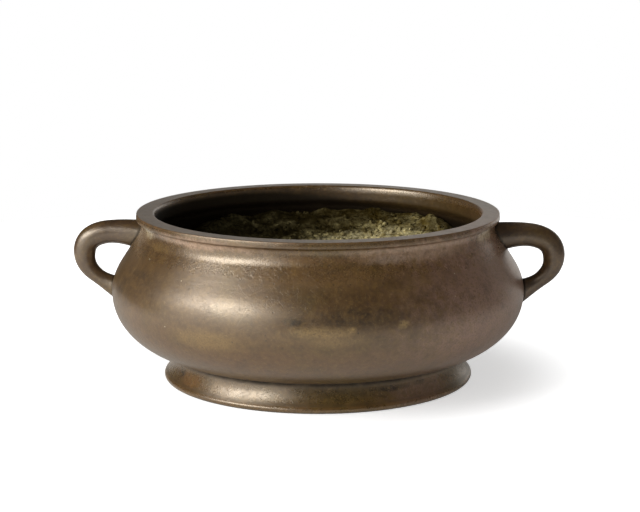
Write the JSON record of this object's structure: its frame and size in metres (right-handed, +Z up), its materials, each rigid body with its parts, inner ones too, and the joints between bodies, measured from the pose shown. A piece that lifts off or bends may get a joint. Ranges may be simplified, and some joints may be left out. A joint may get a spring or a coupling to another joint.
{
  "type": "bombe censer",
  "caption": "Low round bronze incense censer with a swelling bowl, flat lip, spreading foot ring, fixed loop handles and a bed of ash.",
  "frame": {"origin": "middle of the resting face, under the bowl's axis", "axes": "+Z up along the bowl's axis; the two handles lie along X, with handle_right at +X; -Y is the front"},
  "size_m": [0.2202, 0.184, 0.0746],
  "materials": {
    "bowl_bronze": "satin",
    "foot_bronze": "satin",
    "handle_bronze": "satin",
    "ash": "matte"
  },
  "bodies": {
    "root": {"bowl": "bowl_bronze", "foot_ring": "foot_bronze", "handle_left": "handle_bronze", "handle_right": "handle_bronze", "ash_bed": "ash"}
  },
  "joints": []
}
